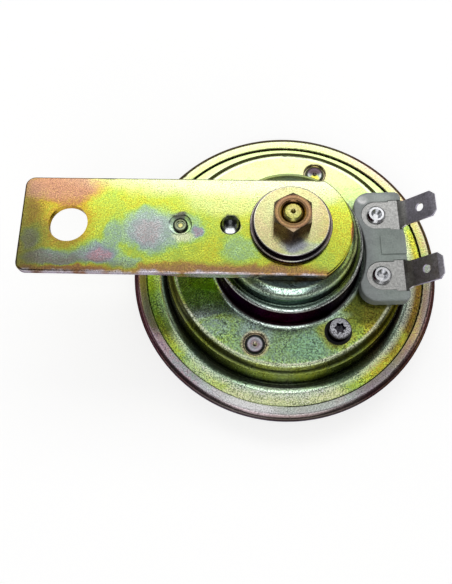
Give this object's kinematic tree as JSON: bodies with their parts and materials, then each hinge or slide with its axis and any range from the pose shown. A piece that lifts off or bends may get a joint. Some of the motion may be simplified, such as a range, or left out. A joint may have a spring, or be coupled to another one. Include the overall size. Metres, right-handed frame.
{
  "type": "car horn",
  "caption": "Round electric disc horn with a stepped pressed housing, a flat mounting arm bolted to its rear stud and spade terminals.",
  "frame": {"origin": "centre of the mounting arm's fixing hole, on the arm's rear face", "axes": "+Z rearwards along the horn's axis and the fixing hole, +X from the fixing hole to the horn, front of the horn down"},
  "size_m": [0.1249, 0.0978, 0.0524],
  "materials": {
    "zinc_plated_steel": "yellow passivated zinc, slightly iridescent",
    "zinc_plated_hardware": "yellow passivated zinc with a coppery tint",
    "bright_steel": "bright",
    "magnet_steel": "turned",
    "spring_steel": "rolled",
    "tinned_brass": "dull tin",
    "brass": "plain",
    "block_plastic": "moulded grey",
    "fibre": "vulcanised fibre",
    "bobbin_plastic": "moulded natural",
    "enamelled_copper": "enamelled wire",
    "gasket_paper": "oiled gasket",
    "seal_rubber": "matt black",
    "contact_metal": "tungsten"
  },
  "bodies": {
    "horn_body": {"rear_housing": "zinc_plated_steel", "rim_ring": "zinc_plated_steel", "front_gasket": "gasket_paper", "diaphragm": "spring_steel", "rear_gasket": "gasket_paper", "pole_core": "zinc_plated_hardware", "coil_bobbin": "bobbin_plastic", "coil_winding": "enamelled_copper", "coil_washer": "fibre", "yoke_plate": "magnet_steel", "yoke_rivet_a": "bright_steel", "yoke_rivet_b": "bright_steel", "coil_lead_a": "enamelled_copper", "coil_lead_b": "enamelled_copper", "mounting_arm": "zinc_plated_steel", "arm_stiffener": "zinc_plated_steel", "arm_rivet": "bright_steel", "lower_washer": "zinc_plated_hardware", "upper_washer": "zinc_plated_hardware", "stud_nut": "zinc_plated_hardware", "terminal_block": "block_plastic", "terminal_blade_a": "tinned_brass", "terminal_blade_b": "tinned_brass", "terminal_rivet_a": "bright_steel", "terminal_rivet_b": "bright_steel", "rivet_insulator_a": "fibre", "rivet_insulator_b": "fibre", "solder_lug": "brass", "contact_leaf": "spring_steel", "contact_spacer": "fibre", "contact_strip": "brass", "fibre_washer": "fibre", "fixed_contact": "contact_metal", "moving_contact": "contact_metal", "screw_bush": "magnet_steel", "screw_seal": "seal_rubber"},
    "sounding_group": {"armature": "magnet_steel", "pusher_arm": "spring_steel", "pusher_pin": "fibre", "disc_spacer": "bright_steel", "tone_disc": "zinc_plated_steel", "lock_washer": "bright_steel", "disc_nut": "zinc_plated_hardware"},
    "adjuster": {"adjusting_screw": "bright_steel"}
  },
  "joints": [
    {"name": "armature_stroke", "type": "slide", "parent": "horn_body", "child": "sounding_group", "axis": [0, 0, 1], "range_m": [-0.0004, 0.00095], "stiffness_N_per_m": 12000, "deforming": ["diaphragm", "contact_leaf"]},
    {"name": "adjuster_turn", "type": "hinge", "parent": "horn_body", "child": "adjuster", "pos_m": [0.07773, -0.02415, -0.0214], "axis": [0, 0, 1], "range_deg": [-180, 180]}
  ]
}
